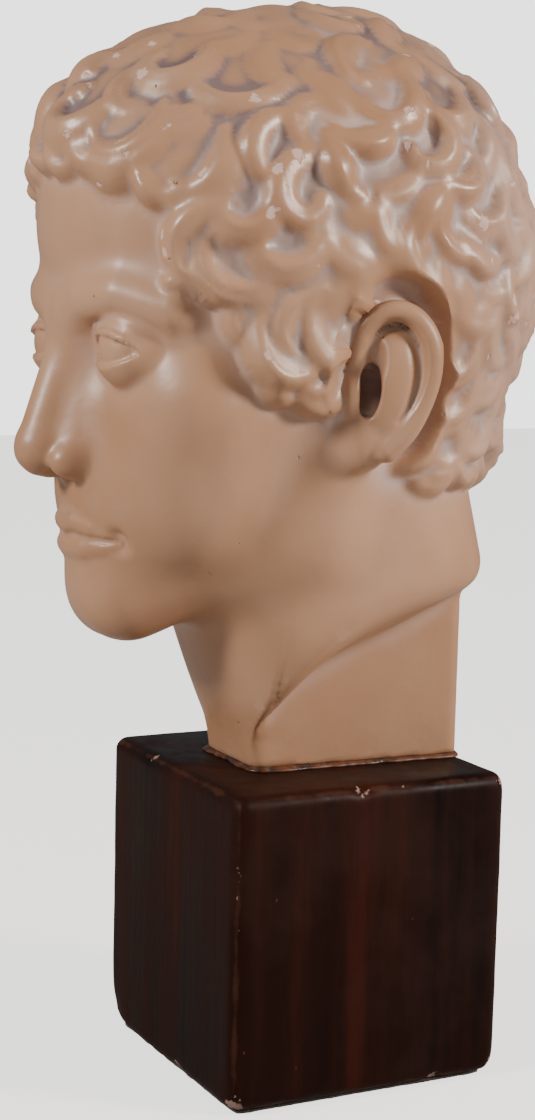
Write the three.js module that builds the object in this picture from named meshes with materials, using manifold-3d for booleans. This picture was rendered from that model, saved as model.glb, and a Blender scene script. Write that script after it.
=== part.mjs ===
// Plaster portrait head of a curly-haired youth, cast solid with a rectangular stub under the
// neck, and held on a stained wooden block by a threaded rod that runs up into the stub.
//
// Millimetres, +Z up. The face looks along -Y and +X is the sitter's left. The origin is the
// centre of the underside, so the object stands on the plane z = 0. The cast has a frame of its
// own, with its origin in the middle of the stub's underside, on the rod's axis.

import * as THREE from "three";
import { RoundedBoxGeometry } from "three/addons/geometries/RoundedBoxGeometry.js";
import { mergeVertices } from "three/addons/utils/BufferGeometryUtils.js";
import Module from "manifold-3d";

const wasm = await Module();
wasm.setup();

// ---- Driving dimensions -------------------------------------------------------------------

const feltThickness = 1.5;
const feltInset = 4; // from the block's side faces
const blockSide = 115;
const blockHeight = 118.5;
const blockEdgeRadius = 6;
const glueThickness = 1;
const glueSqueezeOut = 0.8; // how far the glue stands out round the stub

const headHeight = 219; // chin to crown, under the hair
const headWidth = 141; // above the ears, under the hair
const headDepth = 187; // brow to the back of the skull, under the hair
const browOverhang = 68; // how far the brow stands out in front of the stub
const chinHeight = 55; // over the stub's underside
const hairThickness = 14.5;
const fringeThickness = 16; // over the forehead
const curlRelief = 6.5; // how far a curl stands out of the hair
const curlRadius = 14.5;

const stubFrontWidth = 44;
const stubBackWidth = 52;
const stubDepth = 88;
const stubBackMargin = 2.5; // from the block's back face
const stubCornerRadius = 6;

const neckWidth = 108;
const neckLean = 0.36; // how far the throat goes back for each millimetre down
const neckTaper = 0.25; // how far the nape comes forward for each millimetre up
const lipOverhang = 14; // how far the neck's lip stands out behind the stub
const lipRise = 70; // the lip's height at the back, over the stub's underside
const lipRun = 107; // how far behind the throat the lip is level
const lipFullness = 2.8; // 2 is an ellipse, more is squarer
const neckFullness = 2.4; // in plan
const lipUnderslope = 15; // how far the lip's underside falls on its way in to the stub

const earHeight = 58;
const earWidth = 33;
const earThickness = 6;
const earSplay = 20; // degrees out from the side of the head
const earTilt = 10; // degrees back from upright

const socketWidth = 26; // the socket in the stub, side to side
const socketDepth = 60; // front to back
const socketHeadroom = 4; // over the end of the rod
const plugHeight = 42;
const plugClearance = 0.4;

const rodDiameter = 8;
const rodClearance = 0.5; // in the radius, in the block, the glue and the plug
const washerDiameter = 24;
const washerThickness = 2;
const lockWasherDiameter = 14;
const lockWasherThickness = 2;
const lockWasherGap = 1.5;
const nutAcrossFlats = 13;
const nutHeight = 6.5;
const rodEndPastNut = 4;
const fastenerClearance = 0.3; // round the rod, where the threads would be
const counterboreClearance = 3; // round the washer
const counterboreDepth = 24;

const dowelDiameter = 6;
const dowelLength = 26;
const dowelSpacing = 40; // front to back
const dowelClearance = 0.3; // round each dowel
const dowelEndClearance = 1;

// ---- The bare head, as masses -------------------------------------------------------------
// A form is a function of a point that is negative inside and grows outwards, in millimetres.

// A place on the head in the shares in which a head's proportions are taught: of its half
// width, of its depth back from the brow, and of its height up from the chin.
const browY = -stubDepth / 2 - browOverhang;
const at = (side, back, up) =>
  new THREE.Vector3(
    (side * headWidth) / 2,
    back * headDepth + browY,
    up * headHeight + chinHeight,
  );
const radii = (side, back, up) =>
  new THREE.Vector3((side * headWidth) / 2, back * headDepth, up * headHeight);
const share = (up) => up * headHeight;

const blend = (a, b, soft) => {
  const h = Math.max(soft - Math.abs(a - b), 0) / soft;
  return Math.min(a, b) - (h * h * soft) / 4;
};
const carve = (a, b, soft) => -blend(-a, b, soft);

function egg(p, centre, r) {
  const x = (p.x - centre.x) / r.x;
  const y = (p.y - centre.y) / r.y;
  const z = (p.z - centre.z) / r.z;
  const k = Math.hypot(x, y, z);
  return (k * (k - 1)) / (Math.hypot(x / r.x, y / r.y, z / r.z) || 1);
}

function limb(p, from, to, radiusFrom, radiusTo) {
  const along = to.clone().sub(from);
  const reach = p.clone().sub(from).dot(along) / along.lengthSq();
  const t = THREE.MathUtils.clamp(reach, 0, 1);
  const centre = from.clone().addScaledVector(along, t);
  return p.distanceTo(centre) - THREE.MathUtils.lerp(radiusFrom, radiusTo, t);
}

// Each mass is melted into the ones before it.
const skull = [
  { centre: at(0, 0.54, 0.64), radii: radii(1, 0.46, 0.36), soft: share(0.05) },
  { centre: at(0, 0.62, 0.5), radii: radii(0.8, 0.37, 0.28), soft: share(0.07) },
  { centre: at(0, 0.34, 0.66), radii: radii(0.86, 0.325, 0.27), soft: share(0.07) },
  { centre: at(0, 0.31, 0.4), radii: radii(0.84, 0.275, 0.27), soft: share(0.1) },
  { centre: at(0, 0.33, 0.2), radii: radii(0.68, 0.27, 0.19), soft: share(0.08) },
  { centre: at(0, 0.12, 0.22), radii: radii(0.44, 0.115, 0.13), soft: share(0.1) },
  { centre: at(0, 0.1, 0.085), radii: radii(0.32, 0.095, 0.085), soft: share(0.1) },
  { centre: at(0.56, 0.18, 0.4), radii: radii(0.3, 0.08, 0.085), soft: share(0.09) },
];
const jawFront = [at(0.2, 0.12, 0.065), at(0.66, 0.42, 0.17), share(0.04), share(0.05)];
const jawBack = [at(0.66, 0.42, 0.17), at(0.82, 0.5, 0.4), share(0.05), share(0.05)];
const socket = [at(0.42, -0.005, 0.49), radii(0.27, 0.085, 0.065)];
const browRidge = [at(0.14, 0.035, 0.565), at(0.66, 0.125, 0.57), share(0.03), share(0.03)];
const eyeball = [at(0.43, 0.105, 0.495), radii(0.19, 0.07, 0.06)];
const noseBridge = [at(0, 0.06, 0.55), at(0, -0.03, 0.345), share(0.03), share(0.036)];
const noseTip = [at(0, -0.04, 0.33), radii(0.13, 0.05, 0.042)];
const noseWing = [at(0.15, 0.01, 0.32), radii(0.11, 0.05, 0.038)];
const upperLip = [at(0, 0.012, 0.213), at(0.3, 0.05, 0.195), share(0.028), share(0.014)];
const lowerLip = [at(0, 0.018, 0.166), at(0.26, 0.05, 0.18), share(0.028), share(0.014)];

function bareHead(point) {
  const p = point.clone();
  p.x = Math.abs(p.x);
  let d = Infinity;
  for (const mass of skull) d = blend(d, egg(p, mass.centre, mass.radii), mass.soft);
  d = blend(d, limb(p, ...jawFront), share(0.06));
  d = blend(d, limb(p, ...jawBack), share(0.07));
  d = carve(d, egg(p, ...socket), share(0.055));
  d = blend(d, limb(p, ...browRidge), share(0.04));
  d = blend(d, egg(p, ...eyeball), share(0.02));
  d = blend(d, limb(p, ...noseBridge), share(0.07));
  d = blend(d, egg(p, ...noseTip), share(0.05));
  d = blend(d, egg(p, ...noseWing), share(0.04));
  d = blend(d, limb(p, ...upperLip), share(0.025));
  return blend(d, limb(p, ...lowerLip), share(0.025));
}

// ---- The neck -----------------------------------------------------------------------------

const lipBack = stubDepth / 2 + lipOverhang;
const neckTop = at(0, 0, 0.42).z; // inside the skull

// The neck's round column: the throat leans forward, the nape comes in above the lip.
function neckColumn(p) {
  const front = -stubDepth / 2 - p.z * neckLean;
  const back = lipBack - neckTaper * Math.max(p.z - lipRise, 0);
  const y = Math.abs((p.y - (front + back) / 2) / ((back - front) / 2));
  const x = Math.abs(p.x / (neckWidth / 2));
  const across = (x ** neckFullness + y ** neckFullness) ** (1 / neckFullness);
  return Math.max(((across - 1) * neckWidth) / 2, p.z - neckTop);
}

// How high the lip stands, from the throat's foot to the level part behind.
function lipHeight(y) {
  const ahead = (lipRun - stubDepth / 2 - y) / lipRun;
  const run = THREE.MathUtils.clamp(ahead, 0, 1) ** lipFullness;
  return lipRise * (1 - run) ** (1 / lipFullness);
}

// The stub's plan: a trapezium with rounded corners.
function stubPlan(p) {
  const back = THREE.MathUtils.clamp(p.y / stubDepth + 0.5, 0, 1);
  const halfWidth = THREE.MathUtils.lerp(stubFrontWidth, stubBackWidth, back) / 2;
  const x = Math.abs(p.x) - halfWidth + stubCornerRadius;
  const y = Math.abs(p.y) - stubDepth / 2 + stubCornerRadius;
  const outside = Math.hypot(Math.max(x, 0), Math.max(y, 0));
  return outside + Math.min(Math.max(x, y), 0) - stubCornerRadius;
}

// Positive above the slanting plane, from under the jaw to the nape, where head meets neck.
const seamSlope = 0.2;
const seamFront = at(0, 0.29, 0.05);
const aboveSeam = (p) => p.z - seamFront.z - seamSlope * (p.y - seamFront.y);
const tuckRate = 0.25; // how fast each of the two slips inside the other past the seam
const tuckDepth = 14;

// ---- The hair -----------------------------------------------------------------------------

// How low the hair comes, as a share of the head's height, at each turn round the head from
// the forehead (0 degrees) to the nape (180): fringe, temple, side lock, ear, nape.
const hairline = [
  [0, 0.78],
  [25, 0.775],
  [38, 0.72],
  [48, 0.58],
  [60, 0.43],
  [66, 0.41],
  [76, 0.5],
  [90, 0.56],
  [100, 0.5],
  [108, 0.3],
  [120, 0.215],
  [180, 0.2],
];
const headCentre = at(0, 0.5, 0.45);

function hairlineAt(p) {
  const radians = Math.atan2(Math.abs(p.x), headCentre.y - p.y);
  const turn = THREE.MathUtils.radToDeg(radians);
  const next = Math.max(1, hairline.findIndex(([end]) => end >= turn));
  const [startTurn, startUp] = hairline[next - 1];
  const [endTurn, endUp] = hairline[next];
  return THREE.MathUtils.mapLinear(turn, startTurn, endTurn, startUp, endUp);
}

// 0 on bare skin, 1 in the hair.
function hairCover(p) {
  const over = (p.z - chinHeight) / headHeight - hairlineAt(p);
  return THREE.MathUtils.smoothstep(over, -0.02, 0.06);
}

// The way in from outside to the first place where a form begins.
function surfaceAlong(form, centre, direction, reach) {
  const p = new THREE.Vector3();
  let far = reach;
  for (let step = 0; step < 200 && far > 0; step += 1) {
    p.copy(centre).addScaledVector(direction, far);
    const d = form(p);
    if (d < 0.02) break;
    far -= Math.max(d * 0.6, 0.05);
  }
  return centre.clone().addScaledVector(direction, Math.max(far, 0));
}

// Curls sit at evenly spread turns of a spiral round the head.
const curlCount = Math.round((4 * headWidth * headDepth) / (3.1 * curlRadius ** 2));
const goldenAngle = Math.PI * (3 - Math.sqrt(5));
const headReach = Math.max(headHeight, headDepth);
const curls = [];
for (let i = 0; i < curlCount; i += 1) {
  const up = 1 - (2 * (i + 0.5)) / curlCount;
  const out = Math.sqrt(1 - up * up);
  const turn = goldenAngle * i;
  const direction = new THREE.Vector3(out * Math.cos(turn), out * Math.sin(turn), up);
  const root = surfaceAlong(bareHead, headCentre, direction, headReach);
  if (hairCover(root) > 0.5) curls.push(root);
}

// The head with its hair on: a cap, with a round knob for each curl.
function hairedHead(p) {
  const bare = blend(bareHead(p), neckColumn(p), share(0.05));
  const cover = hairCover(p);
  if (cover === 0 || bare > 3 * fringeThickness) return bare;
  const nearest = Math.min(...curls.map((curl) => curl.distanceTo(p)));
  const knob = Math.max(0, 1 - (nearest / curlRadius) ** 2);
  const front = THREE.MathUtils.smoothstep(headCentre.y - p.y, 0, headDepth / 2);
  const thickness = THREE.MathUtils.lerp(hairThickness, fringeThickness, front);
  return bare - cover * (thickness - curlRelief + curlRelief * knob);
}

// ---- Solids -------------------------------------------------------------------------------

const positionsOnly = (geometry) => {
  const bare = geometry.clone();
  bare.deleteAttribute("normal");
  bare.deleteAttribute("uv");
  return mergeVertices(bare, 1e-3);
};

// A closed geometry as a solid to cut and join.
function solid(geometry) {
  const merged = positionsOnly(geometry);
  const vertProperties = merged.getAttribute("position").array;
  const triVerts = new Uint32Array(merged.index.array);
  return new wasm.Manifold(new wasm.Mesh({ numProp: 3, vertProperties, triVerts }));
}

function geometryOf(made) {
  const { vertProperties, triVerts } = made.getMesh();
  const geometry = new THREE.BufferGeometry();
  geometry.setAttribute("position", new THREE.BufferAttribute(vertProperties, 3));
  geometry.setIndex(new THREE.BufferAttribute(triVerts, 1));
  const faceted = geometry.toNonIndexed();
  faceted.computeVertexNormals();
  return faceted;
}

// An upright cylinder standing on z = 0.
const pillar = (diameter, height, sides = 32) =>
  new THREE.CylinderGeometry(diameter / 2, diameter / 2, height, sides)
    .rotateX(Math.PI / 2)
    .translate(0, 0, height / 2);

// An upright prism standing on z = 0, a trapezium with rounded corners in plan.
function prism(frontWidth, backWidth, depth, radius, height) {
  const corners = [
    new THREE.Vector2(-frontWidth / 2, -depth / 2),
    new THREE.Vector2(frontWidth / 2, -depth / 2),
    new THREE.Vector2(backWidth / 2, depth / 2),
    new THREE.Vector2(-backWidth / 2, depth / 2),
  ];
  const plan = new THREE.Shape();
  corners.forEach((corner, i) => {
    const before = corners[(i + 3) % 4].clone().sub(corner).setLength(radius).add(corner);
    const after = corners[(i + 1) % 4].clone().sub(corner).setLength(radius).add(corner);
    if (i === 0) plan.moveTo(before.x, before.y);
    else plan.lineTo(before.x, before.y);
    plan.quadraticCurveTo(corner.x, corner.y, after.x, after.y);
  });
  plan.closePath();
  const options = { depth: height, bevelEnabled: false, curveSegments: 4 };
  return new THREE.ExtrudeGeometry(plan, options);
}

// ---- The cast head ------------------------------------------------------------------------

// A ball of triangles drawn in onto a form, with the triangles gathered towards the face.
function ballOn(form, centre, detail) {
  const geometry = positionsOnly(new THREE.IcosahedronGeometry(1, detail));
  const position = geometry.getAttribute("position");
  const face = new THREE.Vector3(0, -1, -0.25).normalize();
  const spread = THREE.MathUtils.degToRad(48);
  const gather = 0.36;
  const direction = new THREE.Vector3();
  for (let i = 0; i < position.count; i += 1) {
    direction.fromBufferAttribute(position, i).normalize();
    const away = direction.angleTo(face);
    const axis = face.clone().cross(direction).normalize();
    const turned = away * (1 - gather * Math.exp(-((away / spread) ** 2)));
    direction.copy(face).applyAxisAngle(axis, turned);
    const place = surfaceAlong(form, centre, direction, headReach);
    position.setXYZ(i, place.x, place.y, place.z);
  }
  return geometry;
}

// A closed skin through rings of equally many points, from the lowest ring up.
function skinOf(rings) {
  const count = rings[0].length;
  const points = rings.flat();
  const index = [];
  for (let ring = 0; ring < rings.length - 1; ring += 1) {
    for (let i = 0; i < count; i += 1) {
      const [a, b] = [ring * count + i, ring * count + ((i + 1) % count)];
      index.push(a, b, b + count, a, b + count, a + count);
    }
  }
  const bottom = points.push(new THREE.Vector3(0, 0, rings[0][0].z)) - 1;
  const top = points.push(new THREE.Vector3(0, 0, rings.at(-1)[0].z)) - 1;
  const lastRing = (rings.length - 1) * count;
  for (let i = 0; i < count; i += 1) {
    const next = (i + 1) % count;
    index.push(bottom, next, i, top, lastRing + i, lastRing + next);
  }
  const geometry = new THREE.BufferGeometry().setFromPoints(points);
  geometry.setIndex(index);
  return geometry;
}

// The neck down to its lip, the lip's underside, and the stub.
function neckSkin() {
  const turns = 60;
  const top = at(0, 0, 0.27).z;
  const column = (p) => neckColumn(p) + tuckRate * Math.max(aboveSeam(p), 0);
  const onto = (form, angle, z) => {
    const direction = new THREE.Vector3(Math.sin(angle), -Math.cos(angle), 0);
    return surfaceAlong(form, new THREE.Vector3(0, 0, z), direction, neckWidth);
  };
  const rings = Array.from({ length: 10 }, () => []);
  for (let i = 0; i < turns; i += 1) {
    const angle = (2 * Math.PI * i) / turns;
    const foot = onto(stubPlan, angle, 0);
    const edge = lipHeight(onto(column, angle, lipHeight(foot.y)).y);
    const inner = Math.max(edge - lipUnderslope, 1);
    const over = Math.max(edge + 2, inner + 3);
    rings[0].push(foot);
    rings[1].push(onto(stubPlan, angle, inner));
    rings[2].push(onto(column, angle, Math.max(edge - 3, inner + 1)));
    rings[3].push(onto(column, angle, over));
    for (let ring = 4; ring < 10; ring += 1) {
      const z = THREE.MathUtils.lerp(over, top, (ring - 3) / 6);
      rings[ring].push(onto(column, angle, z));
    }
  }
  return skinOf(rings);
}

// An ear standing at the origin, its outer face along +X: a bevelled plate, hollowed.
function ear() {
  const [w, h] = [earWidth / 2, earHeight / 2];
  const outline = new THREE.Shape();
  outline.moveTo(-0.55 * w, -0.45 * h);
  outline.bezierCurveTo(-0.9 * w, 0, -1.1 * w, 0.9 * h, -0.1 * w, h);
  outline.bezierCurveTo(0.9 * w, 1.02 * h, 1.2 * w, 0.3 * h, 0.8 * w, -0.2 * h);
  outline.bezierCurveTo(0.55 * w, -0.5 * h, 0.3 * w, -h, -0.25 * w, -h);
  outline.bezierCurveTo(-0.75 * w, -h, -0.55 * w, -0.7 * h, -0.55 * w, -0.45 * h);
  const bevel = earThickness / 3;
  const plate = new THREE.ExtrudeGeometry(outline, {
    depth: earThickness - 2 * bevel,
    bevelThickness: bevel,
    bevelSize: bevel,
    bevelOffset: -bevel,
    bevelSegments: 2,
    curveSegments: 6,
  }).translate(0, 0, bevel - earThickness / 2);
  const bowl = new THREE.SphereGeometry(1, 14, 9)
    .scale(0.5 * w, 0.52 * h, earThickness * 0.8)
    .translate(-0.12 * w, 0.02 * h, earThickness * 0.85);
  const upright = new THREE.Matrix4().makeBasis(
    new THREE.Vector3(0, 1, 0),
    new THREE.Vector3(0, 0, 1),
    new THREE.Vector3(1, 0, 0),
  );
  const tilt = new THREE.Matrix4().makeRotationX(THREE.MathUtils.degToRad(-earTilt));
  const splay = new THREE.Matrix4().makeRotationZ(THREE.MathUtils.degToRad(-earSplay));
  const root = at(1, 0.5, 0.425);
  const place = new THREE.Matrix4()
    .makeTranslation(root.x + earThickness / 3, root.y, root.z)
    .multiply(splay)
    .multiply(tilt)
    .multiply(upright);
  return solid(plate.applyMatrix4(place)).subtract(solid(bowl.applyMatrix4(place)));
}

function plasterHead() {
  const fleshed = (p) => {
    const above = aboveSeam(p);
    return Math.max(hairedHead(p) + tuckRate * Math.max(-above, 0), -above - tuckDepth);
  };
  const socketHeight =
    plugHeight + washerThickness + nutHeight + rodEndPastNut + socketHeadroom;
  const socket = prism(socketWidth, socketWidth, socketDepth, 3, socketHeight + 5);
  const leftEar = ear();
  return solid(ballOn(fleshed, headCentre, 17))
    .add(solid(neckSkin()))
    .add(leftEar)
    .add(leftEar.mirror([1, 0, 0]))
    .subtract(solid(socket.translate(0, 0, -5)));
}

// ---- The block and what fastens it --------------------------------------------------------
// Heights here are over the ground. Everything but the felt and the block is on the rod's axis.

const blockTop = feltThickness + blockHeight;
const stubBottom = blockTop + glueThickness;
const rodAxisY = blockSide / 2 - stubBackMargin - stubDepth / 2;
const washerSeat = feltThickness + counterboreDepth;
const plugTop = stubBottom + plugHeight;
const lowerWasherBottom = washerSeat - washerThickness;
const lockWasherBottom = lowerWasherBottom - lockWasherThickness;
const lowerNutBottom = lockWasherBottom - nutHeight;
const upperNutBottom = plugTop + washerThickness;
const rodBottom = lowerNutBottom - rodEndPastNut;
const rodTop = upperNutBottom + nutHeight + rodEndPastNut;
const dowelBottom = stubBottom - dowelLength / 2;
const dowelPlaces = [-dowelSpacing / 2, dowelSpacing / 2];

const rodHole = (length) => pillar(rodDiameter + 2 * rodClearance, length);

// Takes the holes for the dowels out of a solid that stands at the given height.
function drillForDowels(made, bottom) {
  const diameter = dowelDiameter + 2 * dowelClearance;
  const hole = pillar(diameter, dowelLength + 2 * dowelEndClearance, 20);
  const down = dowelBottom - dowelEndClearance - bottom;
  return dowelPlaces.reduce(
    (left, y) => left.subtract(solid(hole.clone().translate(0, y, down))),
    made,
  );
}

function woodBlock() {
  const box = new RoundedBoxGeometry(
    blockSide,
    blockSide,
    blockHeight,
    3,
    blockEdgeRadius,
  );
  box.translate(0, -rodAxisY, blockHeight / 2);
  const counterbore = pillar(washerDiameter + 2 * counterboreClearance, 2 * counterboreDepth);
  const drilled = solid(box)
    .subtract(solid(rodHole(blockHeight + 10).translate(0, 0, -5)))
    .subtract(solid(counterbore.translate(0, 0, -counterboreDepth)));
  return drillForDowels(drilled, feltThickness);
}

function glueBed() {
  const bed = prism(
    stubFrontWidth + 2 * glueSqueezeOut,
    stubBackWidth + 2 * glueSqueezeOut,
    stubDepth + 2 * glueSqueezeOut,
    stubCornerRadius,
    glueThickness,
  );
  const hole = rodHole(glueThickness + 2).translate(0, 0, -1);
  return drillForDowels(solid(bed).subtract(solid(hole)), blockTop);
}

function neckPlug() {
  const [width, depth] = [socketWidth - 2 * plugClearance, socketDepth - 2 * plugClearance];
  const body = prism(width, width, depth, 3, plugHeight);
  const hole = rodHole(plugHeight + 2).translate(0, 0, -1);
  return drillForDowels(solid(body).subtract(solid(hole)), stubBottom);
}

// A ring to go on the rod.
function ring(diameter, height, sides) {
  const hole = pillar(rodDiameter + 2 * fastenerClearance, height + 2);
  const body = solid(pillar(diameter, height, sides));
  return body.subtract(solid(hole.translate(0, 0, -1)));
}

const hexNut = () => ring((2 * nutAcrossFlats) / Math.sqrt(3), nutHeight, 6);

function lockWasher() {
  const cut = new THREE.BoxGeometry(lockWasherDiameter, lockWasherGap, lockWasherThickness * 3);
  cut.translate(lockWasherDiameter / 2, 0, 0);
  return ring(lockWasherDiameter, lockWasherThickness, 32).subtract(solid(cut));
}

// ---- Assembly -----------------------------------------------------------------------------

const finish = (color, roughness, metalness = 0) =>
  new THREE.MeshStandardMaterial({ color, roughness, metalness });
const paintedPlaster = finish(0xd0aa8c, 0.4);
const stainedWood = finish(0x3b1d15, 0.35);
const bareWood = finish(0xb08a5c, 0.8);
const driedGlue = finish(0x7a431c, 0.4);
const zincSteel = finish(0x9a9a98, 0.4, 1);
const feltCloth = finish(0x2c2622, 1);

const bust = new THREE.Group();
const onRodAxis = new THREE.Group();
onRodAxis.position.y = rodAxisY;
bust.add(onRodAxis);

// Each piece is made standing on its own z = 0 and is set down at its height.
function setDown(name, geometry, material, z, y = 0) {
  const mesh = new THREE.Mesh(geometry, material.clone());
  mesh.name = name;
  mesh.position.set(0, y, z);
  return mesh;
}

const feltSide = blockSide - 2 * feltInset;
const anchorWasherDiameter = socketWidth - 2;
bust.add(
  setDown("felt_pad", prism(feltSide, feltSide, feltSide, 4, feltThickness), feltCloth, 0),
);
onRodAxis.add(
  setDown("wood_block", geometryOf(woodBlock()), stainedWood, feltThickness),
  setDown("glue_bed", geometryOf(glueBed()), driedGlue, blockTop),
  setDown("plaster_head", geometryOf(plasterHead()), paintedPlaster, stubBottom),
  setDown("neck_plug", geometryOf(neckPlug()), bareWood, stubBottom),
  setDown(
    "anchor_washer",
    geometryOf(ring(anchorWasherDiameter, washerThickness, 32)),
    zincSteel,
    plugTop,
  ),
  setDown("anchor_nut", geometryOf(hexNut()), zincSteel, upperNutBottom),
  setDown("threaded_rod", pillar(rodDiameter, rodTop - rodBottom), zincSteel, rodBottom),
  setDown(
    "clamp_washer",
    geometryOf(ring(washerDiameter, washerThickness, 32)),
    zincSteel,
    lowerWasherBottom,
  ),
  setDown("lock_washer", geometryOf(lockWasher()), zincSteel, lockWasherBottom),
  setDown("clamp_nut", geometryOf(hexNut()), zincSteel, lowerNutBottom),
);
["front_dowel", "rear_dowel"].forEach((name, i) => {
  const dowel = pillar(dowelDiameter, dowelLength, 20);
  onRodAxis.add(setDown(name, dowel, bareWood, dowelBottom, dowelPlaces[i]));
});

export default bust;
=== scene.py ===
# A plaster portrait head with curly hair, painted tan, on a stained wooden block.
import math

import bmesh
import bpy
import numpy as np
from mathutils import Matrix, Vector


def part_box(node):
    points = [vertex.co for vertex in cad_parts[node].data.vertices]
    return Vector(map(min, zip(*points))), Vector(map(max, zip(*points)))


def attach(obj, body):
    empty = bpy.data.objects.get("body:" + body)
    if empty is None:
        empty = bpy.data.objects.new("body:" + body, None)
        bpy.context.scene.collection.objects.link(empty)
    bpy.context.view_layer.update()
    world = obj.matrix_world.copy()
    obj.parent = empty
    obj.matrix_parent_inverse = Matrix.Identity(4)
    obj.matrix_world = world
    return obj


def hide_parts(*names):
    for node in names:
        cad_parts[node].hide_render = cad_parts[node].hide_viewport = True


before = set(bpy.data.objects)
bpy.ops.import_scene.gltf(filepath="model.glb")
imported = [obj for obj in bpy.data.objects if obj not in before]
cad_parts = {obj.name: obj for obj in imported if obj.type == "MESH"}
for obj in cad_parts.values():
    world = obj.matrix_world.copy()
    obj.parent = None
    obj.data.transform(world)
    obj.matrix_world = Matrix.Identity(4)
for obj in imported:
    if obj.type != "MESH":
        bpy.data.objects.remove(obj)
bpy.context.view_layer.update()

MM = 0.001
# Everything carved is worked out in millimetres in the cast's frame: x towards the sitter's
# left, y back from the block's middle, z up from under the chin.
CHIN_OVER_STUB = 55.0
cast_low = np.array(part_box("plaster_head")[0]) / MM
CHIN_Z = cast_low[2] + CHIN_OVER_STUB
STUB_Z = -CHIN_OVER_STUB


# ---- Forms: negative inside, growing outwards, in millimetres ------------------------------

def melt(a, b, width):
    """The lower of the two, rounded where they meet: two forms run together."""
    h = np.maximum(width - np.abs(a - b), 0.0) / width
    return np.minimum(a, b) - h * h * width / 4.0


def higher_of(a, b, width):
    """The higher of the two, rounded where they meet: what two forms share."""
    return -melt(-a, -b, width)


def carve(a, b, width):
    """The form a with the form b taken out of it."""
    return higher_of(a, -b, width)


def egg(p, centre, radii):
    q = (p - np.array(centre)) / np.array(radii)
    k = np.linalg.norm(q, axis=1)
    g = np.linalg.norm(q / np.array(radii), axis=1)
    return k * (k - 1.0) / np.maximum(g, 1e-6)


def limb(p, start, end, start_radius, end_radius):
    """A round bar that tapers from one radius to the other."""
    start, end = np.array(start, float), np.array(end, float)
    along = end - start
    t = np.clip((p - start) @ along / (along @ along), 0.0, 1.0)
    away = np.linalg.norm(p - start - t[:, None] * along, axis=1)
    return away - start_radius - (end_radius - start_radius) * t


def cord(p, points, radii):
    """Limbs end to end."""
    return np.min([limb(p, points[i], points[i + 1], radii[i], radii[i + 1])
                   for i in range(len(points) - 1)], axis=0)


def curved(points, values, steps=4):
    """More points, and the values there, on one smooth curve through the given ones."""
    points = np.column_stack([np.array(points, float), values])
    ahead = np.vstack([2 * points[0] - points[1], points, 2 * points[-1] - points[-2]])
    made = []
    for i in range(len(points) - 1):
        a, b, c, d = ahead[i:i + 4]
        for t in np.arange(steps) / steps:
            made.append(0.5 * (2 * b + (c - a) * t + (2 * a - 5 * b + 4 * c - d) * t * t
                               + (3 * b - a - 3 * c + d) * t ** 3))
    made.append(points[-1])
    made = np.array(made)
    return made[:, :-1], made[:, -1]


def worked_in(shape, p, d, centre, reach):
    """The form d with a shape worked in, which only matters so near its centre."""
    near = np.linalg.norm(p - np.array(centre), axis=1) < reach
    worked = d.copy()
    worked[near] = shape(p[near], d[near])
    return worked


def smoothstep(low, high, x):
    t = np.clip((x - low) / (high - low), 0.0, 1.0)
    return t * t * (3.0 - 2.0 * t)


def one_side(p):
    """Both sides of the head as one, the sitter's left."""
    q = p.copy()
    q[:, 0] = np.abs(q[:, 0])
    return q


# The head is carved upright in a frame of its own and stands tilted forward on the neck.
NECK_PIVOT = Vector((0.0, 0.0, 60.0))
HEAD_SHIFT = Vector((0.0, -4.5, 3.0))
NOD = math.radians(6.0)
TILT = (Matrix.Translation(NECK_PIVOT + HEAD_SHIFT) @ Matrix.Rotation(NOD, 4, "X")
        @ Matrix.Translation(-NECK_PIVOT))


def as_it_stands(p):
    turned = np.array(TILT)
    return p @ turned[:3, :3].T + turned[:3, 3]


# ---- The bare head ---------------------------------------------------------------------------

SKULL = [  # centre, radii, how softly it melts into what is before it
    ((0, 2, 140), (70.5, 86, 79), 10),
    ((0, 17, 109.5), (57, 69, 61), 16),
    ((0, -33, 150), (61.5, 63, 62), 16),
    ((0, -42, 86), (58, 50, 60), 22),
    ((0, -37, 45), (46, 50, 42), 18),
    ((0, -75, 50), (31, 21, 29), 20),
    ((0, -80.5, 18.5), (20, 17, 18), 18),
    ((38, -64, 86), (22, 16, 20), 22),
    ((30, -64, 55), (20, 17, 22), 20),
]
JAW = [((11, -80, 15), (41, -22, 35), 9, 11), ((41, -22, 35), (57, -6, 84), 11, 11)]


def facial_mass(p):
    d = np.full(len(p), np.inf)
    for centre, radii, width in SKULL:
        form = egg(p, centre, radii)
        d = form if np.isinf(d[0]) else melt(d, form, width)
    for start, end, start_radius, end_radius in JAW:
        d = melt(d, limb(p, start, end, start_radius, end_radius), 15)
    return d


EYE = np.array([31.5, -79.5, 108.5])
EYE_RADIUS = 13.0
LID_RADIUS = 15.0
EYE_HALF_WIDTH = 14.2


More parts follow.
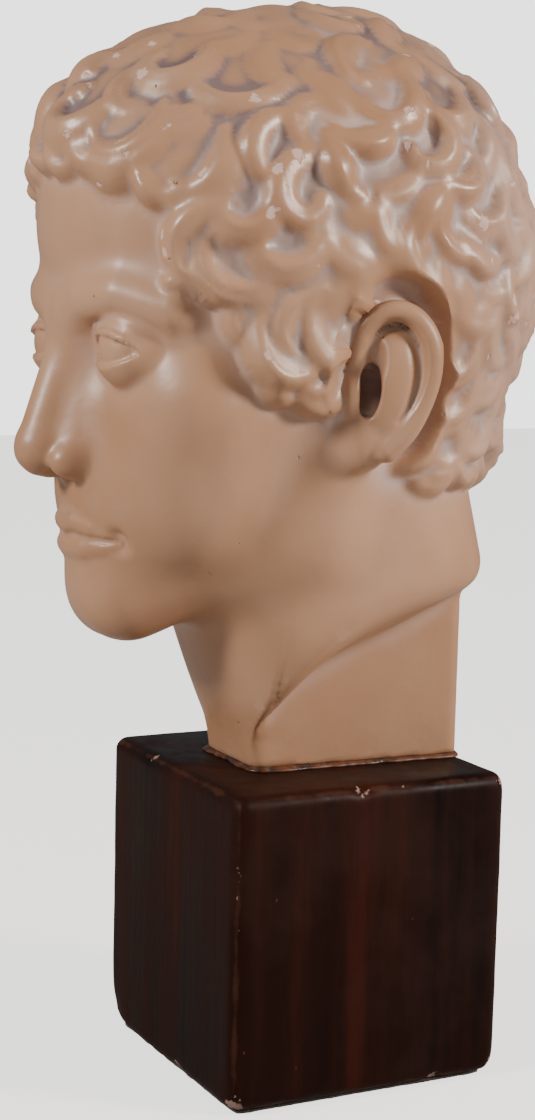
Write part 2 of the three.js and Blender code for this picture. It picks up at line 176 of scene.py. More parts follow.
def eyes(p, d):
    d = carve(d, egg(p, (31, -99, 107), (19, 15.5, 13)), 12)
    brow = cord(p, [(7, -89.5, 121), (19, -91, 126), (35, -86, 128), (50, -73, 122)],
                [5.5, 5, 4.5, 4.5])
    d = melt(d, brow, 13)
    q = p - EYE
    side = np.clip(q[:, 0] / EYE_HALF_WIDTH, -1.0, 1.0)
    arch = np.maximum(1.0 - side * side, 0.0)
    upper = 5.9 * arch ** 0.75 - 0.8 * side
    lower = -4.4 * arch ** 0.9 - 0.8 * side
    slope = np.sqrt(1.0 + (0.55 * side) ** 2)
    opening = np.maximum(q[:, 2] - upper, lower - q[:, 2]) / slope
    opening = np.maximum(opening, np.abs(q[:, 0]) - EYE_HALF_WIDTH)
    away = np.linalg.norm(q, axis=1)
    opening = np.maximum(opening, away - LID_RADIUS - 1.5)
    opening = np.maximum(opening, q[:, 1] + 5.0)
    d = melt(d, away - LID_RADIUS, 3.5)
    fold = cord(q, [(-12, -8.5, 6.5), (-6, -11.5, 9.6), (3, -12.4, 10.4), (11, -9.5, 7.6),
                    (15, -5, 2.5)], [0.8, 1.1, 1.3, 1.1, 0.6])
    d = carve(d, fold, 2.2)
    d = carve(d, opening, 0.9)
    return melt(d, away - EYE_RADIUS, 0.7)


def nose(p, d):
    d = melt(d, limb(p, (0, -86.5, 122), (0, -107, 78), 7.5, 7), 9)
    d = melt(d, limb(p, (5, -83, 104), (8, -95, 75), 5, 6.5), 13)
    d = melt(d, egg(p, (0, -106.5, 73), (8.6, 9.2, 8)), 5)
    wing = egg(p, (11.2, -97.5, 69.5), (6.4, 9.8, 7))
    d = melt(d, wing, 3)
    d = melt(d, limb(p, (0, -107.5, 68.5), (0, -97, 63.5), 3.6, 3.6), 3.5)
    return carve(d, egg(p, (6.4, -102.5, 62.5), (2.9, 5.4, 4.4)), 2.2)


def mouth(p, d):
    d = carve(d, limb(p, (0, -104.5, 50), (0, -101.5, 60), 2.6, 2.2), 3)
    d = carve(d, egg(p, (26.5, -90.5, 40), (2.2, 3.0, 3.2)), 5)
    upper = cord(p, [(0, -97, 45.4), (5.5, -96.6, 46.6), (14, -93.8, 44.2), (24, -87.5, 40.4)],
                 [4.3, 4.2, 3.6, 1.5])
    lower = cord(p, [(0, -95.2, 36.6), (9, -94.4, 37), (17, -91, 38.4), (23.5, -87, 40)],
                 [5.2, 5, 3.8, 1.5])
    d = melt(d, upper, 2.2)
    d = melt(d, lower, 2.2)
    seam = cord(p, [(0, -101.8, 41.2), (6, -101.2, 41.8), (15, -97.5, 40.8), (24.5, -89.8, 39.8)],
                [1.1, 1.1, 1.0, 0.8])
    return carve(d, seam, 1.6)


EAR_PLACE = np.array([70.5, -3.0, 89.0])
EAR_SPLAY = math.radians(20)
EAR_TILT = math.radians(9)
EAR_RIM = [(-11, 8, -1), (-10.5, 15, 1), (-7, 22.5, 2.2), (0.5, 27, 3), (8.5, 25, 3.4),
           (14.5, 17.5, 3.6), (16, 7, 3.4), (14, -4, 2.8), (9.5, -14, 2), (3, -21.5, 0.5)]
EAR_RIM_RADII = [2.5, 3.3, 3.7, 3.9, 3.9, 3.9, 3.9, 3.9, 4.4, 5.2]
EAR_MASSES = [  # centre, radii, how softly it melts into what is before it
    ((1.5, 3, -6.5), (14, 25, 11.5), 6),
    ((7, 4, -9), (11, 22, 11), 6),
    ((-4, -20, -5), (9, 11, 9), 6),
]


def ear_frame(p):
    """Places on the ear: back along it, up along it, and out from the head."""
    q = p - EAR_PLACE
    back = q[:, 1] * math.cos(EAR_SPLAY) + q[:, 0] * math.sin(EAR_SPLAY)
    out = q[:, 0] * math.cos(EAR_SPLAY) - q[:, 1] * math.sin(EAR_SPLAY)
    along = back * math.cos(EAR_TILT) - q[:, 2] * math.sin(EAR_TILT)
    up = q[:, 2] * math.cos(EAR_TILT) + back * math.sin(EAR_TILT)
    return np.stack([along, up, out], axis=1)


def out_of_ear_frame(along, up, out):
    back = along * math.cos(EAR_TILT) + up * math.sin(EAR_TILT)
    z = up * math.cos(EAR_TILT) - along * math.sin(EAR_TILT)
    x = out * math.cos(EAR_SPLAY) + back * math.sin(EAR_SPLAY)
    y = back * math.cos(EAR_SPLAY) - out * math.sin(EAR_SPLAY)
    return EAR_PLACE + np.array([x, y, z])


def ear(p, d):
    e = ear_frame(p)
    for centre, radii, width in EAR_MASSES:
        d = melt(d, egg(e, centre, radii), width)
    d = melt(d, cord(e, *curved(EAR_RIM, EAR_RIM_RADII)), 2)
    d = melt(d, egg(e, (3.5, 1, 1.5), (9, 18, 5)), 3)
    groove = curved([(-6, 17, 5), (-1, 21.5, 5.8), (5.5, 20.5, 6.2), (10, 14.5, 6.4),
                     (11.4, 6.5, 6.2), (9.8, -3, 5.8), (6, -11, 6)],
                    [1.2, 1.9, 2.3, 2.3, 2.1, 1.7, 0.8])
    d = carve(d, cord(e, *groove), 2)
    d = carve(d, egg(e, (-4.5, 9, 5.5), (3.6, 8, 5)), 2)
    d = carve(d, egg(e, (-5, -1.5, 1.5), (4, 9.5, 8.5)), 1.6)
    return melt(d, egg(e, (-11.5, -4, -1), (3.2, 6.5, 4)), 3)


# ---- The neck ----------------------------------------------------------------------------------

THROAT_FOOT = -33.0
NECK_LEAN = 0.36
LIP_BACK = 68.0
LIP_FOOT = -63.0
LIP_RISE = 78.0
LIP_RUN = 107.0
LIP_FULLNESS = 2.8
LIP_UNDERSLOPE = 0.55
LIP_STEEPEST = 6.0
NECK_HALF_WIDTH = 54.0
NECK_TAPER = 0.25
NECK_TAPER_FROM = 70.0  # above the stub's foot
NECK_SQUARENESS = 2.4
NECK_TOP = 100.0  # inside the skull
STUB_BACK = 55.0
STUB_HALF_WIDTHS = (22.0, 26.0)
STUB_CORNER = 5.0
STUB_TOP = 22.0  # inside the neck


def neck_column(p):
    up = p[:, 2] - STUB_Z
    front = THROAT_FOOT - NECK_LEAN * up
    back = LIP_BACK - NECK_TAPER * np.maximum(up - NECK_TAPER_FROM, 0.0)
    y = np.abs((p[:, 1] - (front + back) / 2.0) / ((back - front) / 2.0))
    x = np.abs(p[:, 0]) / NECK_HALF_WIDTH
    across = (x ** NECK_SQUARENESS + y ** NECK_SQUARENESS) ** (1 / NECK_SQUARENESS)
    d = (across - 1.0) * NECK_HALF_WIDTH
    return np.maximum(d, p[:, 2] - NECK_TOP)


def lip_underside(p, column):
    """The curve under which the neck is cut away, leaving the stub."""
    ahead = np.clip((THROAT_FOOT + LIP_RUN - p[:, 1]) / LIP_RUN, 0.0, 1.0)
    rise = np.maximum(1.0 - ahead ** LIP_FULLNESS, 1e-4) ** (1 / LIP_FULLNESS)
    steep = LIP_RISE / LIP_RUN * (ahead / rise) ** (LIP_FULLNESS - 1)
    under = LIP_FOOT + LIP_RISE * rise + LIP_UNDERSLOPE * np.minimum(column, 0.0) - p[:, 2]
    return under / np.sqrt(1.0 + LIP_UNDERSLOPE ** 2 + np.minimum(steep, LIP_STEEPEST) ** 2)


def stub_plan(p):
    depth = STUB_BACK - THROAT_FOOT
    share = np.clip((p[:, 1] - THROAT_FOOT) / depth, 0.0, 1.0)
    half_width = STUB_HALF_WIDTHS[0] + (STUB_HALF_WIDTHS[1] - STUB_HALF_WIDTHS[0]) * share
    x = np.abs(p[:, 0]) - half_width + STUB_CORNER
    y = np.abs(p[:, 1] - (THROAT_FOOT + STUB_BACK) / 2.0) - depth / 2.0 + STUB_CORNER
    outside = np.hypot(np.maximum(x, 0.0), np.maximum(y, 0.0))
    d = outside + np.minimum(np.maximum(x, y), 0.0) - STUB_CORNER
    return np.maximum(d, p[:, 2] - STUB_TOP)


def neck(p):
    p = as_it_stands(p)
    column = neck_column(p)
    flesh = higher_of(column, lip_underside(p, column), 9.0)
    return melt(flesh, stub_plan(p), 4.0)


def bare_form(point):
    """The whole head and its stub, without the hair."""
    p = one_side(point)
    d = facial_mass(p)
    d = worked_in(eyes, p, d, (30, -84, 112), 48)
    d = worked_in(nose, p, d, (0, -96, 92), 52)
    d = worked_in(mouth, p, d, (10, -93, 44), 38)
    d = melt(d, neck(p), 12.0)
    d = worked_in(ear, p, d, (76, 4, 91), 52)
    return np.maximum(d, STUB_Z - as_it_stands(p)[:, 2])


# ---- The hair: a thin cap with locks laid over it ----------------------------------------------

SKULL_MIDDLE = np.array([0.0, -5.5, 98.5])
HEAD_HEIGHT = 219.0
CROWN = np.array([8.0, 30.0, 218.0])
CAP_THICKNESS = 6.5
# The hair's lower edge, as a share of the head's height, at each turn round the head from the
# forehead (0 degrees) to the nape (180).
HAIRLINE = np.array([(0, 0.775), (22, 0.765), (34, 0.71), (43, 0.61), (52, 0.50), (60, 0.40),
                     (68, 0.37), (76, 0.45), (90, 0.56), (102, 0.5), (108, 0.3), (120, 0.21),
                     (180, 0.19)])


def turn_of(p):
    return np.degrees(np.arctan2(np.abs(p[:, 0]), SKULL_MIDDLE[1] - p[:, 1]))


def hairline_at(turn):
    return np.interp(np.abs(turn), HAIRLINE[:, 0], HAIRLINE[:, 1]) * HEAD_HEIGHT


def over_hairline(p):
    return p[:, 2] - hairline_at(turn_of(p))


def out_of_oval(e, middle, half_sizes):
    """1 on an oval round a place on the ear, less inside it and more outside."""
    return (((e[:, 0] - middle[0]) / half_sizes[0]) ** 2
            + ((e[:, 1] - middle[1]) / half_sizes[1]) ** 2)


def past_ear(p):
    """How far out past the ear's middle: 1 on an oval a little inside its rim."""
    e = ear_frame(one_side(p))
    middle = (1.5, 3.0)
    half_width = np.where(e[:, 0] < middle[0], 14.5, 17.0)
    return out_of_oval(e, middle, (half_width, 29.0))


def off_the_ear(p):
    return smoothstep(1.2, 1.85, past_ear(p))


def unit(v):
    return v / max(np.linalg.norm(v), 1e-9)


def lock_path(length, turning, points=15):
    """A hook in the plane: it sets off along x and winds up tighter towards its tip."""
    t = np.linspace(0.0, 1.0, points)
    heading = turning * (0.35 * t + 0.65 * t ** 1.8)
    steps = np.stack([np.cos(heading), np.sin(heading)], axis=1) * length / (points - 1)
    path = np.cumsum(steps, axis=0)
    return path - path.mean(axis=0)


def make_lock(root, normal, growth, length, width, lift, turning, strand):
    along = unit(growth - normal * (growth @ normal))
    return {"root": root, "along": along, "across": np.cross(normal, along),
            "path": lock_path(length, turning), "width": width, "lift": lift, "strand": strand,
            "reach": length * 0.62 + width * 1.6}


LOCK_COUNT = 450  # over a whole ball, of which the hair covers a part
GOLDEN_ANGLE = math.pi * (3.0 - math.sqrt(5.0))
CLEAR_OF_EDGE = 13.0
EDGE_LOCKS_OVER = 7.0  # how far over the hairline their middles are
HAIR_SEED = 11


def locks_over_head(p, normals, chance):
    """Locks with their roots spread evenly, flowing away from the crown."""
    locks = []
    over = over_hairline(p)
    free = off_the_ear(p) > 0.5
    from_middle = p - SKULL_MIDDLE
    reach = np.linalg.norm(from_middle, axis=1)
    for i in range(LOCK_COUNT):
        up = 1.0 - 2.0 * (i + 0.5) / LOCK_COUNT
        out = math.sqrt(1.0 - up * up)
        turn = GOLDEN_ANGLE * i
        ray = np.array([out * math.cos(turn), out * math.sin(turn), up])
        nearest = int(np.argmax((from_middle @ ray) / reach))
        if over[nearest] < CLEAR_OF_EDGE or not free[nearest]:
            continue
        root, normal = p[nearest], normals[nearest]
        away = root - CROWN
        flow = unit(away - normal * (away @ normal))
        side = np.cross(normal, flow)
        on_top = smoothstep(0.86, 0.97, root[2] / HEAD_HEIGHT)
        swing = chance.uniform(-1.0, 1.0) * (1.5 - 0.9 * on_top)
        growth = flow * math.cos(swing) + side * math.sin(swing)
        hand = 1.0 if chance.random() < 0.6 else -1.0
        hooked = chance.random() < 0.68 - 0.3 * on_top
        length = chance.uniform(32, 46) if hooked else chance.uniform(20, 32)
        turning = chance.uniform(2.6, 4.2) if hooked else chance.uniform(1.0, 2.4)
        width = chance.uniform(7.2, 9.8) if hooked else chance.uniform(8.0, 12.0)
        lift = chance.uniform(8.0, 13.0) * (1.0 - 0.15 * on_top)
        locks.append(make_lock(root, normal, growth, length, width, lift, hand * turning,
                               chance.uniform(0.2, 0.9)))
    return locks


def locks_along_edge(p, normals, chance):
    """A row of short locks just over the hairline, hanging down."""
    locks = []
    on_ear = np.where(off_the_ear(p) > 0.5, 0, 900)
    turns = turn_of(p) * np.sign(p[:, 0] + 1e-9)
    at_turn = -176.0
    while at_turn < 180.0:
        wanted = hairline_at(at_turn) + EDGE_LOCKS_OVER
        miss = ((turns - at_turn) * 1.3) ** 2 + (p[:, 2] - wanted) ** 2 + on_ear
        nearest = int(np.argmin(miss))
        root, normal = p[nearest], normals[nearest]
        hanging = np.array([0.0, -0.35 if abs(at_turn) > 25 else 0.0, -1.0])
        sideways = np.cross(normal, hanging) * chance.uniform(-0.5, 0.5)
        hand = 1.0 if chance.random() < 0.7 else -1.0
        locks.append(make_lock(root, normal, hanging + sideways, chance.uniform(19, 25),
                               chance.uniform(5.2, 7.4), chance.uniform(6.0, 9.5),
                               hand * chance.uniform(1.2, 2.6), chance.uniform(0.1, 0.6)))
        at_turn += chance.uniform(7.5, 11.0)
    return locks


def nearest_on_path(flat, path):
    """How far each place is from the path, how far along that is, and on which side."""
    last = len(path) - 1
    away = np.full(len(flat), 1e9)
    when = np.zeros(len(flat))
    side = np.zeros(len(flat))
    for i in range(last):
        step = path[i + 1] - path[i]
        rel = flat - path[i]
        t = np.clip(rel @ step / (step @ step), 0.0, 1.0)
        miss = rel - t[:, None] * step
        d = np.hypot(miss[:, 0], miss[:, 1])
        closer = d < away
        away = np.where(closer, d, away)
        when = np.where(closer, (i + t) / last, when)
        side = np.where(closer, np.sign(step[0] * rel[:, 1] - step[1] * rel[:, 0]), side)
    return away, when, side


def lock_rise(lock, q):
    """How far one lock stands out, at places given from its root."""
    flat = np.stack([q @ lock["along"], q @ lock["across"]], axis=1)
    away, when, side = nearest_on_path(flat, lock["path"])
    fat = lock["width"] * (0.55 + 0.45 * np.sin(math.pi * np.clip(0.12 + 0.8 * when, 0, 1)))
    u = away / (fat * np.where(side > 0, 1.25, 0.85))
    dome = np.where(u < 1.0, np.maximum(1.0 - u * u, 0.0) ** 0.75, 1.0 - u * u)
    top = lock["lift"] * (0.72 + 0.28 * np.sin(math.pi * np.clip(when * 1.1, 0, 1)))
    groove = np.exp(-((away * side / fat - 0.25) / 0.16) ** 2)
    return top * dome - lock["strand"] * groove * smoothstep(1.0, 0.4, u)


def hair_height(p, locks):
    """How far the hair stands out from the bare head at each point."""
    height = CAP_THICKNESS * smoothstep(2.0, 16.0, over_hairline(p))
    for lock in locks:
        q = p - lock["root"]
        near = np.flatnonzero(np.einsum("ij,ij->i", q, q) < (lock["reach"] + 6.0) ** 2)
        if len(near):
            height[near] = higher_of(height[near], lock_rise(lock, q[near]), 3.0)
    return np.maximum(height, 0.0) * off_the_ear(p)


# ---- Sculpting: moving a mesh's vertices onto a form -------------------------------------------

def vertices_of(mesh):
    co = np.empty(len(mesh.vertices) * 3)
    mesh.vertices.foreach_get("co", co)
    return co.reshape(-1, 3)


def neighbours_of(mesh):
    edges = np.empty(len(mesh.edges) * 2, dtype=np.int64)
    mesh.edges.foreach_get("vertices", edges)
    pairs = edges.reshape(-1, 2)
    return np.concatenate([pairs[:, 0], pairs[:, 1]]), np.concatenate([pairs[:, 1], pairs[:, 0]])


def averaged(values, ends, count):
    """Each vertex's value becomes the mean of its neighbours' values."""
    a, b = ends
    degree = np.maximum(np.bincount(a, minlength=count), 1)
    columns = values.reshape(count, -1)
    means = [np.bincount(a, weights=columns[b, i], minlength=count) / degree
             for i in range(columns.shape[1])]
    return np.stack(means, axis=1).reshape(values.shape)


CORNERS = ((1, 1, 1), (1, -1, -1), (-1, 1, -1), (-1, -1, 1))


def slope_of(form, p, step=0.35):
    """Which way the form grows, and how fast, from its values at four points round each."""
    slope = np.zeros_like(p)
    for corner in CORNERS:
        corner = np.array(corner, float)
        slope += form(p + corner * step)[:, None] * corner
    return slope / (4.0 * step)


def drawn_onto(form, p, ends, rounds, relax, most, thickness=None):
    """The points moved onto the form, or to a thickness over it, and kept evenly spread."""
    for _ in range(rounds):
        slope = slope_of(form, p)
        steepness = np.maximum(np.sum(slope * slope, axis=1), 0.2)
        short = form(p) if thickness is None else form(p) - thickness(p)
        push = -short / steepness
        p = p + slope * np.clip(push, -most, most)[:, None]
        normal = slope / np.maximum(np.linalg.norm(slope, axis=1), 1e-6)[:, None]
        slide = averaged(p, ends, len(p)) - p
        slide -= normal * np.sum(slide * normal, axis=1)[:, None]
        p = p + slide * relax
    return p


def set_vertices(mesh, p):
    mesh.vertices.foreach_set("co", p.ravel())
    mesh.update()


def remeshed(mesh, voxel):
    """A copy of a closed mesh as even quads, all its overlapping parts made one."""
    piece = bpy.data.objects.new("remeshing", mesh)
    bpy.context.scene.collection.objects.link(piece)
    remesh = piece.modifiers.new("even", "REMESH")
    remesh.mode = "VOXEL"
    remesh.voxel_size = voxel
    remesh.use_smooth_shade = True
    depsgraph = bpy.context.evaluated_depsgraph_get()
    made = bpy.data.meshes.new_from_object(piece.evaluated_get(depsgraph))
    bpy.data.objects.remove(piece)
    return made


def mesh_of(bm, name):
    mesh = bpy.data.meshes.new(name)
    bm.to_mesh(mesh)
    bm.free()
    return mesh


def outward_mesh(bm, name):
    """The mesh of closed shapes, with every face turned outwards."""
    bmesh.ops.recalc_face_normals(bm, faces=bm.faces)
    return mesh_of(bm, name)


def add_egg(bm, centre, radii):
    place = Matrix.Translation(centre) @ Matrix.Diagonal((*radii, 1.0))
    bmesh.ops.create_icosphere(bm, subdivisions=3, radius=1.0, matrix=place)


def add_limb(bm, start, end, start_radius, end_radius, beads=7):
    """A row of balls from one end to the other."""
    start, end = Vector(start), Vector(end)
    for i in range(beads):
        t = i / (beads - 1)
        radius = start_radius + (end_radius - start_radius) * t
        add_egg(bm, start.lerp(end, t), (radius, radius, radius))


def rough_head():
    """The big masses, standing through one another."""
    bm = bmesh.new()
    for centre, radii, _ in SKULL:
        for side in {-1, 1} if centre[0] else {1}:
            add_egg(bm, (side * centre[0], centre[1], centre[2]), radii)
    for side in (-1, 1):
        for start, end, start_radius, end_radius in JAW:
            add_limb(bm, (side * start[0], *start[1:]), (side * end[0], *end[1:]),
                     start_radius, end_radius)
        add_egg(bm, (side * 31, -84, 108), (16, 10, 14))
        for centre, radii, _ in EAR_MASSES:
            x, y, z = out_of_ear_frame(*centre)
            turned = (radii[2], radii[0], radii[1])
            add_egg(bm, (side * x, y, z), turned)
        for place, radius in zip(EAR_RIM, EAR_RIM_RADII):
            x, y, z = out_of_ear_frame(*place)
            add_egg(bm, (side * x, y, z), (radius, radius + 1.5, radius + 1.5))
        add_egg(bm, (side * 11, -98, 70), (7, 9, 7))
    add_limb(bm, (0, -88, 118), (0, -107, 75), 8, 9)
    add_egg(bm, (0, -96, 42), (22, 7, 9))
    upright = TILT.inverted()
    add_limb(bm, upright @ Vector((0, 11, 58)), upright @ Vector((0, 8, 22)), 53, 48)
    stub = Matrix.Translation((0, 11, -25)) @ Matrix.Diagonal((46, 88, 60, 1))
    bmesh.ops.create_cube(bm, size=1.0, matrix=upright @ stub)
    throat = Matrix.Translation((0, -8, -10)) @ Matrix.Diagonal((70, 70, 50, 1))
    bmesh.ops.create_cube(bm, size=1.0, matrix=upright @ throat)
    return mesh_of(bm, "rough_head")


def finely_carved(p):
    """Where the eyes, the nose's tip, the lips and the ears are."""
    q = one_side(p)
    e = ear_frame(q)
    ears = (np.abs(e[:, 0] - 2) < 19) & (np.abs(e[:, 1] - 1) < 31) & (e[:, 2] > -12)
    eye = np.linalg.norm(q - EYE, axis=1) < 21
    lips = (q[:, 0] < 29) & (q[:, 1] < -80) & (np.abs(q[:, 2] - 41) < 10)
    nostrils = (q[:, 0] < 20) & (q[:, 1] < -88) & (np.abs(q[:, 2] - 68) < 11)
    return ears | eye | lips | nostrils


def split_where(mesh, wanted):
    """Each face of the wanted places cut into four."""
    inside = wanted(vertices_of(mesh))
    bm = bmesh.new()
    bm.from_mesh(mesh)
    bm.verts.ensure_lookup_table()
    edges = [e for e in bm.edges if inside[e.verts[0].index] and inside[e.verts[1].index]]
    bmesh.ops.subdivide_edges(bm, edges=edges, cuts=1, use_grid_fill=True)
    bm.to_mesh(mesh)
    bm.free()


def sunk(p, normals, ends, rounds):
    """How far each point lies under the smoothed surface; negative on a ridge."""
    soft = p
    for _ in range(rounds):
        soft = averaged(soft, ends, len(p))
    return np.sum((soft - p) * normals, axis=1)


def keep_on(mesh, name, values):
    """One value for each vertex, kept for a finish to read."""
    layer = mesh.attributes.new(name, "FLOAT", "POINT")
    layer.data.foreach_set("value", np.ascontiguousarray(values, dtype=np.float32))


ROUGH_VOXEL, MIDDLE_VOXEL, FINE_VOXEL = 3.2, 2.4, 1.75


def bare_head():
    """The head before its hair: its mesh, its points and the way out at each."""
    mesh = remeshed(rough_head(), ROUGH_VOXEL)
    for voxel, rounds, most in ((MIDDLE_VOXEL, 9, 3.0), (FINE_VOXEL, 5, 1.5)):
        p = drawn_onto(bare_form, vertices_of(mesh), neighbours_of(mesh), rounds, 0.4, most)
        set_vertices(mesh, p)
        mesh = remeshed(mesh, voxel)
    p = drawn_onto(bare_form, vertices_of(mesh), neighbours_of(mesh), 3, 0.3, 0.8)
    slope = slope_of(bare_form, p)
    return mesh, p, slope / np.linalg.norm(slope, axis=1)[:, None]


def softened_round_ear(p, ends, past):
    """The hair's edge round the ear, smoothed so that it has no spikes."""
    share = smoothstep(1.15, 1.4, past) * smoothstep(2.7, 2.1, past) * 0.6
    for _ in range(7):
        p = p + (averaged(p, ends, len(p)) - p) * share[:, None]
    return p


def keep_wear_and_shade(mesh, ends, hair, past):
    """How filmy and worn the paint is at each vertex, for its finish, and where light and shade
    are painted in: a pale wash partly standing for light on the back of the head, painted shade
    with dust in the hair's hollows, and painted shade in the ears.
    """
    p = vertices_of(mesh)
    normals = np.empty(len(p) * 3)
    mesh.vertices.foreach_get("normal", normals)
    normals = normals.reshape(-1, 3)
    hollow = sunk(p, normals, ends, 7)
    valley = sunk(p, normals, ends, 45)
    film = smoothstep(0.1, 1.2, hollow + 0.4 * valley)
    round_ear = 0.95 * smoothstep(1.0, 1.25, past) * smoothstep(3.2, 2.0, past)
    film = film * np.maximum(0.35 + 0.65 * hair, round_ear)
    # A pale wash on the back of the head and neck, kept with the film: partly paler paint, partly
    # painted light where the back catches the light.
    film_and_light_at_back = 0.38 * smoothstep(15.0, 65.0, p[:, 1]) * smoothstep(20.0, 60.0, p[:, 2])
    keep_on(mesh, "film", np.maximum(film, film_and_light_at_back))
    # Painted shade, with dust, in the hair's hollows, stronger towards the top of the head.
    on_top = 0.35 + 0.65 * smoothstep(150.0, 200.0, p[:, 2])
    keep_on(mesh, "shade_and_dust", smoothstep(0.05, 0.75, hollow + 0.5 * valley) * hair * on_top)
    # Painted shade: dark in the ear's deep slot and in the hollows round the ear where there is no
    # hair.
    e = ear_frame(one_side(p))
    near_ear = smoothstep(1.1, 0.8, out_of_oval(e, (2, 2), (14, 27)))
    slot = smoothstep(1.25, 0.75, out_of_oval(e, (-5, -1.5), (4.6, 10)))
    keep_on(mesh, "ear_shade", np.maximum(slot * smoothstep(0.2, 1.2, hollow + 0.3 * valley),
                                     smoothstep(0.5, 1.3, hollow) * near_ear * (1 - hair)))
    worn = np.maximum(hair, 0.35 * smoothstep(20.0, 0.0, p[:, 2]))
    keep_on(mesh, "ridge", smoothstep(0.12, 0.8, -hollow - 0.5 * valley) * worn)


def carved_head():
    mesh, p, normals = bare_head()
    chance = np.random.default_rng(HAIR_SEED)
    locks = locks_over_head(p, normals, chance) + locks_along_edge(p, normals, chance)

    def haired(q):
        return hair_height(q, locks)

    set_vertices(mesh, p + normals * haired(p)[:, None])
    mesh = remeshed(mesh, FINE_VOXEL)
    split_where(mesh, finely_carved)
    ends = neighbours_of(mesh)
    p = drawn_onto(bare_form, vertices_of(mesh), ends, 5, 0.3, 1.2, haired)
    past = past_ear(p)
    p = softened_round_ear(p, ends, past)
    set_vertices(mesh, p)
    keep_wear_and_shade(mesh, ends, smoothstep(1.0, 5.0, haired(p)), past)
    return mesh


# ---- Pieces, cuts and other common work --------------------------------------------------------

def new_piece(name, mesh):
    piece = bpy.data.objects.new(name, mesh)
    bpy.context.scene.collection.objects.link(piece)
    return piece


def cut_out(mesh, tools):
    """The mesh with each of the closed tool meshes taken out of it."""
    piece = new_piece("cutting", mesh)
    cutters = []
    for tool in tools:
        cutter = new_piece("cutter", tool)
        cutters.append(cutter)
        taking = piece.modifiers.new("cut", "BOOLEAN")
        taking.operation = "DIFFERENCE"
        taking.solver = "MANIFOLD"
        taking.object = cutter
    depsgraph = bpy.context.evaluated_depsgraph_get()
    made = bpy.data.meshes.new_from_object(piece.evaluated_get(depsgraph))
    for spare in [piece, *cutters]:
        bpy.data.objects.remove(spare)
    return made


def drill(diameter, bottom, top, y):
    """A round bar, to cut a hole along z."""
    bm = bmesh.new()
    place = Matrix.Translation((0, y, (bottom + top) / 2))
    bmesh.ops.create_cone(bm, cap_ends=True, segments=40, radius1=diameter / 2,
                          radius2=diameter / 2, depth=top - bottom, matrix=place)
    return outward_mesh(bm, "drill")


def subdivided_cube(cuts):
    """A cube from -1 to 1 with even squares on its faces."""
    bm = bmesh.new()
    bmesh.ops.create_cube(bm, size=2.0)
    bmesh.ops.subdivide_edges(bm, edges=bm.edges, cuts=cuts, use_grid_fill=True)
    return bm


def ripples(p, length, seed):
    """Smooth random waves about so long, around 0 and seldom past 1 either way."""
    chance = np.random.default_rng(seed)
    total = np.zeros(len(p))
    for _ in range(7):
        direction = chance.normal(size=3)
        direction *= chance.uniform(0.6, 1.5) * 2 * math.pi / length / np.linalg.norm(direction)
        total += np.sin(p @ direction + chance.uniform(0, 2 * math.pi))
    return total / 4.0


# ---- The wooden block --------------------------------------------------------------------------

block_low, block_high = (np.array(corner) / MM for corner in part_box("wood_block"))
BLOCK_EDGE_RADIUS = 5.0
# The block's faces: the sitter's right and left, the front, the back, the foot and the top.
RIGHT, FRONT, FOOT = block_low
LEFT, BACK, TOP = block_high
KNOCKS = [  # where, how wide and how deep
    ((LEFT, FRONT, 92), 3.4, 1.3), ((LEFT, FRONT, 84), 2.6, 0.9), ((LEFT, FRONT, 102), 2.2, 0.8),
    ((LEFT, FRONT, 71), 2.2, 0.6), ((LEFT, -6, TOP), 3.6, 1.3), ((LEFT, 12, TOP), 2.2, 0.6),
    ((LEFT, FRONT, 3), 5.5, 1.6), ((LEFT, BACK, 3), 5, 1.4), ((RIGHT, FRONT, 4), 9, 3),
    ((RIGHT, -40, 2), 6, 1.2), ((10, FRONT, 2), 4, 0.8), ((LEFT, 30, 2), 3.5, 0.8),
    ((-20, FRONT, TOP), 3, 0.7), ((RIGHT, 20, TOP), 4, 0.9), ((0, BACK, TOP), 4, 0.9),
    ((RIGHT, BACK, 2), 6, 1.5), ((LEFT, BACK, 118), 4, 1.0),
]

# The bores: one for the rod, with a counterbore under it, and one for each dowel.
ROD_Y = 11.0
ROD_HOLE = 9.0
COUNTERBORE = 30.0
COUNTERBORE_TOP = FOOT + 24.0
DOWEL_HOLE = 6.6
DOWEL_SPACING = 40.0
DOWEL_LOW = cast_low[2] - 14.0


def dowel_holes(bottom, top):
    return [drill(DOWEL_HOLE, bottom, top, ROD_Y + side * DOWEL_SPACING / 2) for side in (-1, 1)]


def rounded(p, low, high, radius):
    """Points on a box's faces, drawn in to round its edges."""
    core = np.clip(p, low + radius, high - radius)
    out = p - core
    return core + out * radius / np.maximum(np.linalg.norm(out, axis=1), 1e-6)[:, None]


def edge_distance(p, low, high):
    """How far a point on a box is from the box's nearest edge."""
    to_faces = np.minimum(p - low, high - p)
    return np.sort(to_faces, axis=1)[:, 1]


def knocks_at(p, spread):
    """How near a point is to each knock, 1 at its middle, and how deep the knock is."""
    for place, width, most in KNOCKS:
        away = np.linalg.norm(p - np.array(place), axis=1)
        yield np.exp(-(away / (spread * width)) ** 2), most


